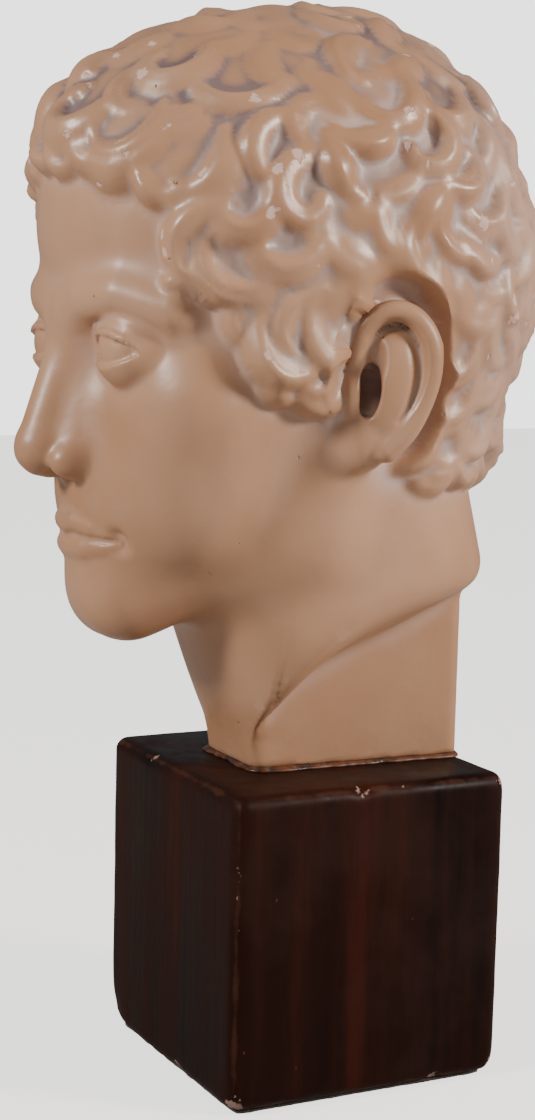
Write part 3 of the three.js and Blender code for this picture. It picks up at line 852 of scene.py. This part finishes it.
def block_mesh():
    """The block with soft, knocked edges and its bores."""
    mesh = outward_mesh(subdivided_cube(71), "wood_block")
    u = vertices_of(mesh)
    u = 0.5 * u + 0.5 * np.sin(u * math.pi / 2)  # closer together towards the edges
    middle, half = (block_low + block_high) / 2, (block_high - block_low) / 2
    p = rounded(middle + u * half, block_low, block_high, BLOCK_EDGE_RADIUS)
    inward = middle - p
    inward /= np.linalg.norm(inward, axis=1)[:, None]
    edge = smoothstep(9.0, 1.5, edge_distance(p, block_low, block_high))
    depth = 0.1 * (1 + ripples(p, 70, 3)) + edge * 0.13 * (1 + ripples(p, 17, 4))
    for near, most in knocks_at(p, 1.0):
        depth += most * near
    set_vertices(mesh, p + inward * depth[:, None])
    below, above = FOOT - 2.5, TOP + 10.0
    mesh = cut_out(mesh, [drill(ROD_HOLE, below, above, ROD_Y),
                          drill(COUNTERBORE, below, COUNTERBORE_TOP, ROD_Y),
                          *dowel_holes(DOWEL_LOW, above)])
    p = vertices_of(mesh)
    keep_on(mesh, "edge", smoothstep(5.5, 0.8, edge_distance(p, block_low, block_high)))
    keep_on(mesh, "knocked", np.max([near for near, _ in knocks_at(p, 1.4)], axis=0))
    return mesh


# ---- The glue round the stub -------------------------------------------------------------------

GLUE_STEPS = 220


def stub_outline(angles, outset):
    """How far from the rod's axis the stub's outline, let out by outset, is at each angle."""
    near, far = np.zeros(len(angles)), np.full(len(angles), 90.0)  # halved until they meet
    for _ in range(30):
        half = (near + far) / 2
        p = np.stack([half * np.cos(angles), ROD_Y + half * np.sin(angles),
                      np.full(len(angles), STUB_Z + 1.0)], axis=1)
        outside = stub_plan(p) > outset
        near, far = np.where(outside, near, half), np.where(outside, half, far)
    return near


def glue_mesh():
    """The bed between the block and the stub, with what was squeezed out of it."""
    low, high = TOP, cast_low[2]
    angles = np.linspace(0, 2 * math.pi, GLUE_STEPS, endpoint=False)
    even = np.zeros(GLUE_STEPS)
    round_it = np.stack([np.cos(angles) * 40, np.sin(angles) * 40, even], axis=1)
    blobs = 0.5 + 0.5 * ripples(round_it, 16, 8) + 0.35 * ripples(round_it, 6, 9)
    blobs = np.clip(blobs, 0.0, 1.6) * (0.55 + 0.45 * np.cos(angles + math.pi / 3))
    rings = [(stub_outline(angles, 0.1), high + 0.5 + 0.7 * blobs),
             (stub_outline(angles, 0.5 + 0.8 * blobs), high + 0.1 + 0.5 * blobs),
             (stub_outline(angles, 0.9 + 1.7 * blobs), low + 0.55 + 0.2 * blobs),
             (stub_outline(angles, 1.0 + 2.2 * blobs), low + even),
             (ROD_HOLE / 2 + even, low + even),
             (ROD_HOLE / 2 + even, high + even),
             (stub_outline(angles, -0.8), high + even)]
    bm = bmesh.new()
    loops = []
    for reach, height in rings:
        verts = [bm.verts.new((r * math.cos(a), ROD_Y + r * math.sin(a), z))
                 for r, a, z in zip(reach, angles, height)]
        loops.append([bm.edges.new((verts[i - 1], verts[i])) for i in range(len(verts))])
    for i in range(len(loops)):
        bmesh.ops.bridge_loops(bm, edges=loops[i - 1] + loops[i])
    return cut_out(outward_mesh(bm, "glue_bed"), dowel_holes(low - 2, high + 2))


# ---- The threaded rod --------------------------------------------------------------------------

THREAD_PITCH = 1.25
THREAD_DEPTH = 0.75
RINGS_A_TURN = 5
ROD_SEGMENTS = 24


def rod_mesh():
    """A bar in rings, drawn in to a groove that winds up it, with chamfered ends."""
    low, high = (np.array(corner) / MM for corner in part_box("threaded_rod"))
    middle, length, radius = (low + high) / 2, high[2] - low[2], (high[0] - low[0]) / 2
    bm = bmesh.new()
    bmesh.ops.create_cone(bm, cap_ends=True, segments=ROD_SEGMENTS, radius1=1.0, radius2=1.0,
                          depth=length)
    upright = [e for e in bm.edges if abs(e.verts[0].co.z - e.verts[1].co.z) > 1.0]
    rings = round(length / THREAD_PITCH * RINGS_A_TURN)
    bmesh.ops.subdivide_edges(bm, edges=upright, cuts=rings - 1)
    mesh = outward_mesh(bm, "threaded_rod")
    p = vertices_of(mesh)
    turn = np.arctan2(p[:, 1], p[:, 0]) / (2 * math.pi)
    along = (p[:, 2] / THREAD_PITCH - turn) % 1.0
    groove = THREAD_DEPTH * (1.0 - np.abs(2.0 * along - 1.0))
    to_end = length / 2 - np.abs(p[:, 2])
    r = np.minimum(radius - groove, radius - THREAD_DEPTH + to_end)
    p[:, :2] *= r[:, None]
    set_vertices(mesh, p + middle)
    return mesh


# ---- The felt under the block ------------------------------------------------------------------

FELT_CORNER = 4.0
FELT_LIFTED = 0.35
FELT_LIFTED_BELOW = 0.7
FELT_FUZZ = 0.25


def felt_mesh():
    """A thin pad with round corners and a fuzzy, slightly lifted edge."""
    low, high = (np.array(corner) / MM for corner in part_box("felt_pad"))
    mesh = outward_mesh(subdivided_cube(50), "felt_pad")
    p = vertices_of(mesh) * (high - low) / 2 + (high + low) / 2
    core = np.clip(p[:, :2], low[:2] + FELT_CORNER, high[:2] - FELT_CORNER)
    out = p[:, :2] - core
    longest = np.max(np.abs(out), axis=1) / np.maximum(np.hypot(out[:, 0], out[:, 1]), 1e-6)
    p[:, :2] = core + out * longest[:, None]
    edge = smoothstep(2.5, 0.0, np.min(np.minimum(p - low, high - p)[:, :2], axis=1))
    inward = -np.sign(p[:, :2]) * (np.abs(p[:, :2]) > 40)
    p[:, :2] += inward * (edge * FELT_FUZZ * (1 + ripples(p, 5, 21)))[:, None]
    p[:, 2] += np.where(p[:, 2] > FELT_LIFTED_BELOW, 0.0, FELT_LIFTED * edge)
    set_vertices(mesh, p)
    return mesh


# ---- Finishes ----------------------------------------------------------------------------------

# Colours, as linear shares of red, green and blue. The milky film is also a pale wash, partly
# painted light, on the back of the head; the grey is painted shade, with dust, in the hair's
# hollows; the dark brown is painted shade in the ears.
DEEP_TAN, LIGHT_TAN, PINK_TAN = (0.365, 0.196, 0.108), (0.44, 0.257, 0.157), (0.43, 0.265, 0.18)
MILKY_FILM, GREY_SHADE_AND_DUST = (0.48, 0.385, 0.365), (0.12, 0.085, 0.09)
BROWN_EAR_SHADE, PIT_BROWN = (0.075, 0.026, 0.014), (0.10, 0.035, 0.02)
CHIPPED_PLASTER = (0.60, 0.42, 0.37)
NEAR_BLACK, DARK_STAIN = (0.0014, 0.0005, 0.0004), (0.0115, 0.0021, 0.0009)
RED_STAIN, DULLED_STAIN = (0.030, 0.0050, 0.0016), (0.034, 0.014, 0.009)
RUBBED_STAIN, CHIPPED_STAIN = (0.06, 0.021, 0.011), (0.30, 0.20, 0.165)
ORANGE_SPECK = (0.36, 0.07, 0.02)
TAN_BEECH, PALE_BEECH, BEECH_FLECK = (0.42, 0.25, 0.12), (0.58, 0.40, 0.22), (0.24, 0.12, 0.05)
THICK_GLUE, THIN_GLUE, GLUE_DUST = (0.022, 0.007, 0.004), (0.12, 0.034, 0.010), (0.20, 0.12, 0.075)
DULL_ZINC, BRIGHT_ZINC, RUST_STAIN = (0.34, 0.35, 0.36), (0.62, 0.62, 0.60), (0.20, 0.10, 0.05)
DARK_FELT, BROWN_FELT, LINT = (0.010, 0.008, 0.007), (0.045, 0.034, 0.028), (0.20, 0.17, 0.15)


class Nodes:
    """Puts nodes in a material or a group, with their inputs set or joined up."""

    def __init__(self, tree):
        self.tree = tree

    def add(self, kind, inputs=None, **settings):
        node = self.tree.nodes.new(kind)
        for name, value in settings.items():
            setattr(node, name, value)
        for name, value in (inputs or {}).items():
            self.join(value, node.inputs[name])
        return node

    def join(self, value, socket):
        if isinstance(value, bpy.types.NodeSocket):
            self.tree.links.new(value, socket)
        else:
            socket.default_value = value

    def maths(self, operation, a, b, clamp=False):
        return self.add("ShaderNodeMath", {0: a, 1: b}, operation=operation,
                        use_clamp=clamp).outputs[0]

    def times(self, a, b, clamp=False):
        return self.maths("MULTIPLY", a, b, clamp)

    def plus(self, a, b, clamp=False):
        return self.maths("ADD", a, b, clamp)

    def less(self, a, b):
        return self.maths("SUBTRACT", a, b)

    def mixed(self, share, a, b):
        """The colour a, turning into the colour b as the share goes from 0 to 1."""
        node = self.tree.nodes.new("ShaderNodeMix")
        node.data_type = "RGBA"
        for value, name in ((share, "Factor_Float"), (a, "A_Color"), (b, "B_Color")):
            socket = next(i for i in node.inputs if i.identifier == name)
            self.join((*value, 1) if isinstance(value, tuple) else value, socket)
        return next(o for o in node.outputs if o.identifier == "Result_Color")

    def tinted(self, color, mask, strength, tint):
        """The colour with a tint over it where the mask says, and no stronger than this."""
        return self.mixed(self.times(mask, strength), color, tint)

    def ramp(self, value, low, high, to_low=0.0, to_high=1.0):
        return self.add("ShaderNodeMapRange", {"Value": value, "From Min": low, "From Max": high,
                                               "To Min": to_low, "To Max": to_high},
                        interpolation_type="SMOOTHSTEP").outputs["Result"]

    def noise(self, place, scale, detail=3.0, roughness=0.5):
        return self.add("ShaderNodeTexNoise", {"Vector": place, "Scale": scale, "Detail": detail,
                                               "Roughness": roughness}).outputs["Fac"]

    def scaled(self, place, factors):
        return self.add("ShaderNodeVectorMath", {0: place, 1: factors},
                        operation="MULTIPLY").outputs["Vector"]

    def attribute(self, name):
        return self.add("ShaderNodeAttribute", attribute_name=name).outputs["Fac"]


def group(name, inputs):
    """A new node group with these inputs, which puts out one mask."""
    tree = bpy.data.node_groups.new(name, "ShaderNodeTree")
    for socket, kind, value in inputs:
        made = tree.interface.new_socket(socket, in_out="INPUT", socket_type=kind)
        if value is not None:
            made.default_value = value
    tree.interface.new_socket("Mask", in_out="OUTPUT", socket_type="NodeSocketFloat")
    n = Nodes(tree)
    return tree, n, n.add("NodeGroupInput").outputs, n.add("NodeGroupOutput").inputs["Mask"]


def broken_up():
    """A mask with a ragged edge, from a soft one."""
    tree, n, given, mask = group("broken up", [
        ("Place", "NodeSocketVector", None), ("Amount", "NodeSocketFloat", 0.5),
        ("Scale", "NodeSocketFloat", 100.0), ("Softness", "NodeSocketFloat", 0.1)])
    grain = n.noise(given["Place"], given["Scale"], 4.0, 0.65)
    share = n.maths("DIVIDE", n.less(given["Amount"], grain), given["Softness"])
    n.join(n.plus(share, 0.5, clamp=True), mask)
    return tree


def spots():
    """Scattered small round marks with uneven sizes."""
    tree, n, given, mask = group("spots", [
        ("Place", "NodeSocketVector", None), ("Scale", "NodeSocketFloat", 100.0),
        ("Size", "NodeSocketFloat", 0.15), ("Share", "NodeSocketFloat", 0.3)])
    wobble = n.add("ShaderNodeTexNoise", {"Vector": given["Place"], "Scale": 420.0, "Detail": 2.0})
    shift = n.scaled(wobble.outputs["Color"], (0.004, 0.004, 0.004))
    place = n.add("ShaderNodeVectorMath", {0: given["Place"], 1: shift}).outputs["Vector"]
    cells = n.add("ShaderNodeTexVoronoi", {"Vector": place, "Scale": given["Scale"]})
    pick = n.add("ShaderNodeSeparateColor", {"Color": cells.outputs["Color"]}).outputs
    radius = n.times(given["Size"], n.plus(pick["Green"], 0.3))
    there = n.maths("LESS_THAN", pick["Red"], given["Share"])
    inside = n.less(radius, cells.outputs["Distance"])
    n.join(n.times(n.times(inside, 14.0, clamp=True), there), mask)
    return tree


BROKEN_UP, SPOTS = broken_up(), spots()


def use(n, tree, **inputs):
    """The mask of a node group placed in a material."""
    node = n.add("ShaderNodeGroup")
    node.node_tree = tree
    for name, value in inputs.items():
        n.join(value, node.inputs[name])
    return node.outputs["Mask"]


def finish(name):
    """A new material: with its nodes, the place on the piece, and its shader."""
    material = bpy.data.materials.new(name)
    material.use_nodes = True
    n = Nodes(material.node_tree)
    place = n.add("ShaderNodeTexCoord").outputs["Object"]
    return material, n, place, material.node_tree.nodes["Principled BSDF"]


def bumped(n, shader, height, depth_mm):
    bump = n.add("ShaderNodeBump", {"Height": height, "Distance": depth_mm * MM})
    n.join(bump.outputs["Normal"], shader.inputs["Normal"])


def painted_plaster():
    """Plaster under a semi-gloss tan paint, paler where it pooled, chipped on the curls, with
    painted shade in the hair's hollows and the ears, and a pale wash, partly painted light, on the
    back of the head.
    """
    material, n, place, shader = finish("painted_plaster")
    mottle = n.ramp(n.noise(place, 11.0, 3.0, 0.55), 0.35, 0.68)
    color = n.mixed(mottle, DEEP_TAN, LIGHT_TAN)
    fine = n.ramp(n.noise(place, 55.0, 4.0, 0.6), 0.45, 0.75)
    color = n.tinted(color, fine, 0.25, PINK_TAN)
    # The film also carries the pale wash on the back of the head, partly painted light.
    film = n.times(n.attribute("film"), n.ramp(n.noise(place, 38.0, 3.0), 0.25, 0.55, 0.45, 1.0))
    color = n.tinted(color, film, 0.75, MILKY_FILM)
    # Painted shade with dust: grey in the hair's hollows.
    shade_and_dust = n.times(n.attribute("shade_and_dust"), n.ramp(n.noise(place, 20.0), 0.3, 0.52))
    color = n.tinted(color, shade_and_dust, 0.85, GREY_SHADE_AND_DUST)
    # Painted shade: dark brown in the ear's slot and hollows.
    ear_shade = n.attribute("ear_shade")
    color = n.tinted(color, ear_shade, 0.9, BROWN_EAR_SHADE)
    chips = use(n, SPOTS, Place=place, Scale=95.0, Size=0.26, Share=0.4)
    chips = n.times(chips, n.ramp(n.attribute("ridge"), 0.3, 0.55))
    color = n.tinted(color, chips, 0.85, CHIPPED_PLASTER)
    pits = use(n, SPOTS, Place=place, Scale=120.0, Size=0.08, Share=0.12)
    color = n.tinted(color, pits, 0.8, PIT_BROWN)
    n.join(color, shader.inputs["Base Color"])
    rough = n.ramp(n.noise(place, 30.0, 3.0), 0.3, 0.7, 0.32, 0.45)
    for mask, dulling in ((film, 0.12), (chips, 0.3), (ear_shade, 0.3)):
        rough = n.plus(rough, n.times(mask, dulling))
    n.join(rough, shader.inputs["Roughness"])
    height = n.plus(n.times(n.noise(place, 260.0, 3.0), 0.16),
                    n.times(n.noise(place, 70.0, 2.0), 0.5))
    for mask, depth in ((chips, 0.5), (pits, 0.9)):
        height = n.less(height, n.times(mask, depth))
    bumped(n, shader, height, 0.45)
    return material


def stained_wood():
    """Mahogany stain brushed on upright, satin, rubbed and chipped along the edges."""
    material, n, place, shader = finish("stained_wood")
    streaks = n.noise(n.scaled(place, (60.0, 60.0, 4.5)), 1.0, 5.0, 0.62)
    bands = n.noise(n.scaled(place, (26.0, 26.0, 2.0)), 1.0, 3.0, 0.5)
    both = n.plus(n.times(streaks, 0.6), n.times(bands, 0.4))
    color = n.mixed(n.ramp(both, 0.36, 0.52), NEAR_BLACK, DARK_STAIN)
    color = n.mixed(n.ramp(both, 0.53, 0.70), color, RED_STAIN)
    patch = use(n, BROKEN_UP, Place=place, Amount=0.42, Scale=16.0, Softness=0.25)
    color = n.tinted(color, patch, 0.35, DULLED_STAIN)
    rubbed = use(n, BROKEN_UP, Place=n.scaled(place, (1.0, 1.0, 0.5)),
                 Amount=n.times(n.attribute("edge"), 0.56), Scale=70.0, Softness=0.16)
    color = n.tinted(color, rubbed, 0.6, RUBBED_STAIN)
    knocked = use(n, BROKEN_UP, Place=place, Amount=n.times(n.attribute("knocked"), 0.77),
                  Scale=330.0, Softness=0.04)
    color = n.tinted(color, knocked, 0.85, CHIPPED_STAIN)
    specks = use(n, SPOTS, Place=place, Scale=85.0, Size=0.05, Share=0.06)
    color = n.tinted(color, specks, 0.8, ORANGE_SPECK)
    n.join(color, shader.inputs["Base Color"])
    shader.inputs["Specular IOR Level"].default_value = 0.1
    rough = n.ramp(streaks, 0.3, 0.7, 0.34, 0.5)
    for mask, dulling in ((patch, 0.2), (knocked, 0.3)):
        rough = n.plus(rough, n.times(mask, dulling))
    n.join(rough, shader.inputs["Roughness"])
    grain = n.noise(n.scaled(place, (260.0, 260.0, 20.0)), 1.0, 2.0)
    height = n.plus(n.times(streaks, 0.5), n.times(grain, 0.25))
    height = n.less(height, n.times(knocked, 0.7))
    bumped(n, shader, height, 0.35)
    return material


def bare_wood():
    """Pale turned beech, with short flecks along the grain."""
    material, n, place, shader = finish("bare_wood")
    grain = n.noise(n.scaled(place, (420.0, 420.0, 22.0)), 1.0, 4.0, 0.6)
    rings = n.noise(n.scaled(place, (110.0, 150.0, 9.0)), 1.0, 3.0, 0.5)
    color = n.mixed(n.ramp(rings, 0.35, 0.65), TAN_BEECH, PALE_BEECH)
    color = n.tinted(color, n.ramp(grain, 0.5, 0.72), 0.6, BEECH_FLECK)
    n.join(color, shader.inputs["Base Color"])
    n.join(n.ramp(grain, 0.3, 0.7, 0.72, 0.9), shader.inputs["Roughness"])
    bumped(n, shader, grain, 0.12)
    return material


def dried_glue():
    """Amber glue, darker where it is thick, with dust on it."""
    material, n, place, shader = finish("dried_glue")
    thick = n.noise(place, 130.0, 3.0)
    color = n.mixed(n.ramp(thick, 0.35, 0.65), THICK_GLUE, THIN_GLUE)
    dust = use(n, BROKEN_UP, Place=place, Amount=0.4, Scale=300.0, Softness=0.2)
    color = n.tinted(color, dust, 0.4, GLUE_DUST)
    n.join(color, shader.inputs["Base Color"])
    n.join(n.ramp(thick, 0.3, 0.7, 0.28, 0.5), shader.inputs["Roughness"])
    bumped(n, shader, thick, 0.3)
    return material


def zinc_steel():
    """Zinc-plated steel, dulled in clouds, with turning marks."""
    material, n, place, shader = finish("zinc_steel")
    cloud = n.noise(place, 150.0, 4.0, 0.6)
    color = n.mixed(n.ramp(cloud, 0.35, 0.65), DULL_ZINC, BRIGHT_ZINC)
    stains = n.times(use(n, SPOTS, Place=place, Scale=260.0, Size=0.25, Share=0.12), 0.6)
    color = n.mixed(stains, color, RUST_STAIN)
    n.join(color, shader.inputs["Base Color"])
    n.join(n.less(1.0, stains), shader.inputs["Metallic"])
    n.join(n.ramp(cloud, 0.3, 0.7, 0.28, 0.48), shader.inputs["Roughness"])
    turning = n.noise(n.scaled(place, (300.0, 300.0, 1600.0)), 1.0, 2.0)
    bumped(n, shader, turning, 0.04)
    return material


def felt_cloth():
    """Dark brown felt, with matted fibres and lint."""
    material, n, place, shader = finish("felt_cloth")
    fibres = n.noise(place, 900.0, 5.0, 0.7)
    tufts = n.noise(place, 160.0, 3.0)
    color = n.mixed(n.ramp(fibres, 0.35, 0.65), DARK_FELT, BROWN_FELT)
    lint = use(n, SPOTS, Place=place, Scale=190.0, Size=0.12, Share=0.12)
    color = n.tinted(color, lint, 0.5, LINT)
    n.join(color, shader.inputs["Base Color"])
    shader.inputs["Roughness"].default_value = 0.97
    shader.inputs["Sheen Weight"].default_value = 0.35
    bumped(n, shader, n.plus(n.times(fibres, 0.7), n.times(tufts, 0.5)), 0.4)
    return material


finishes = {make.__name__: make() for make in (painted_plaster, stained_wood, bare_wood,
                                               dried_glue, zinc_steel, felt_cloth)}


# ---- Putting it together -----------------------------------------------------------------------

SOCKET_WIDTH, SOCKET_DEPTH, SOCKET_HEIGHT = 26.0, 60.0, 60.5  # for the plug in the stub
SOCKET_BELOW = 10.0  # the cutter reaches down past the stub's foot


def placed(name, mesh, stands_for, look):
    """A piece in full size, riding on the one body and painted with a named finish."""
    mesh.transform(Matrix.Diagonal((MM, MM, MM, 1.0)))
    for polygon in mesh.polygons:
        polygon.use_smooth = True
    mesh.materials.clear()
    mesh.materials.append(finishes[look])
    piece = new_piece(name, mesh)
    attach(piece, "root")
    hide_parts(stands_for)


def cast_mesh():
    """The carved head, tilted as it stands, with the plug's socket cut into its stub."""
    cast = carved_head()
    cast.transform(TILT)
    tall = SOCKET_HEIGHT + SOCKET_BELOW
    middle = Matrix.Translation((0, ROD_Y, STUB_Z + (SOCKET_HEIGHT - SOCKET_BELOW) / 2))
    bm = bmesh.new()
    bmesh.ops.create_cube(bm, size=1.0, matrix=middle @ Matrix.Diagonal(
        (SOCKET_WIDTH, SOCKET_DEPTH, tall, 1)))
    cast = cut_out(cast, [outward_mesh(bm, "socket")])
    cast.transform(Matrix.Translation((0, 0, CHIN_Z)))
    return cast


placed("plaster_cast", cast_mesh(), "plaster_head", "painted_plaster")
placed("stained_block", block_mesh(), "wood_block", "stained_wood")
placed("squeezed_glue", glue_mesh(), "glue_bed", "dried_glue")
placed("felt_underside", felt_mesh(), "felt_pad", "felt_cloth")
placed("screw_rod", rod_mesh(), "threaded_rod", "zinc_steel")

for look, names in (("bare_wood", ("neck_plug", "front_dowel", "rear_dowel")),
                    ("zinc_steel", ("anchor_washer", "anchor_nut", "clamp_washer",
                                    "lock_washer", "clamp_nut"))):
    for name in names:
        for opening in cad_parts[name].material_slots:
            opening.material = finishes[look]


# ---- Floor, light and camera -------------------------------------------------------------------

UNLIT, FLOOR_GLOW = 0.0, 1.7
WALL_LIGHT, WALL_SEEN = 0.25, 2.6


def for_camera(n, lighting, seen):
    """One strength for what a thing lights, and another for how it looks itself."""
    to_camera = n.add("ShaderNodeLightPath").outputs["Is Camera Ray"]
    return n.ramp(to_camera, 0.0, 1.0, lighting, seen)


def pale_floor():
    bm = bmesh.new()
    bmesh.ops.create_grid(bm, x_segments=8, y_segments=8, size=3.0)
    mesh = mesh_of(bm, "floor")
    material = bpy.data.materials.new("pale_floor")
    material.use_nodes = True
    shader = material.node_tree.nodes["Principled BSDF"]
    shader.inputs["Base Color"].default_value = (0.45, 0.42, 0.40, 1)
    shader.inputs["Roughness"].default_value = 0.9
    shader.inputs["Specular IOR Level"].default_value = 0.1
    shader.inputs["Emission Color"].default_value = (1.0, 0.99, 0.98, 1)
    n = Nodes(material.node_tree)
    n.join(for_camera(n, UNLIT, FLOOR_GLOW), shader.inputs["Emission Strength"])
    mesh.materials.append(material)
    return new_piece("floor", mesh)


def pale_walls():
    world = bpy.data.worlds.new("studio")
    world.use_nodes = True
    background = world.node_tree.nodes["Background"]
    background.inputs["Color"].default_value = (0.98, 0.97, 0.96, 1)
    n = Nodes(world.node_tree)
    n.join(for_camera(n, WALL_LIGHT, WALL_SEEN), background.inputs["Strength"])
    return world


def light(name, place, aim, size, power, color):
    lamp = bpy.data.lights.new(name, "AREA")
    lamp.size = size
    lamp.energy = power
    lamp.color = color
    stand = bpy.data.objects.new(name, lamp)
    stand.location = place
    stand.rotation_euler = (Vector(aim) - Vector(place)).to_track_quat("-Z", "Y").to_euler()
    bpy.context.scene.collection.objects.link(stand)


pale_floor()
bpy.context.scene.world = pale_walls()
light("key", (0.15, -1.4, 0.95), (0, 0, 0.28), 0.28, 25, (1.0, 0.93, 0.88))
light("side", (1.15, 1.15, 0.85), (0, 0, 0.3), 0.35, 40, (1.0, 0.90, 0.82))

CAMERA_PLACE = (0.7218, -0.3892, 0.3058)
AZIMUTH, ELEVATION, ROLL = (math.radians(a) for a in (62.81, 7.62, 1.39))
LENS, SENSOR_HEIGHT = 68.593, 36.0

camera = bpy.data.cameras.new("camera")
camera.sensor_fit = "VERTICAL"
camera.sensor_height = SENSOR_HEIGHT
camera.lens = LENS
view = bpy.data.objects.new("camera", camera)
view.location = CAMERA_PLACE
forward = Vector((-math.sin(AZIMUTH) * math.cos(ELEVATION),
                  math.cos(AZIMUTH) * math.cos(ELEVATION), -math.sin(ELEVATION)))
level = forward.to_track_quat("-Z", "Y").to_matrix()
view.rotation_euler = (level @ Matrix.Rotation(ROLL, 3, "Z")).to_euler()
bpy.context.scene.collection.objects.link(view)
bpy.context.scene.camera = view
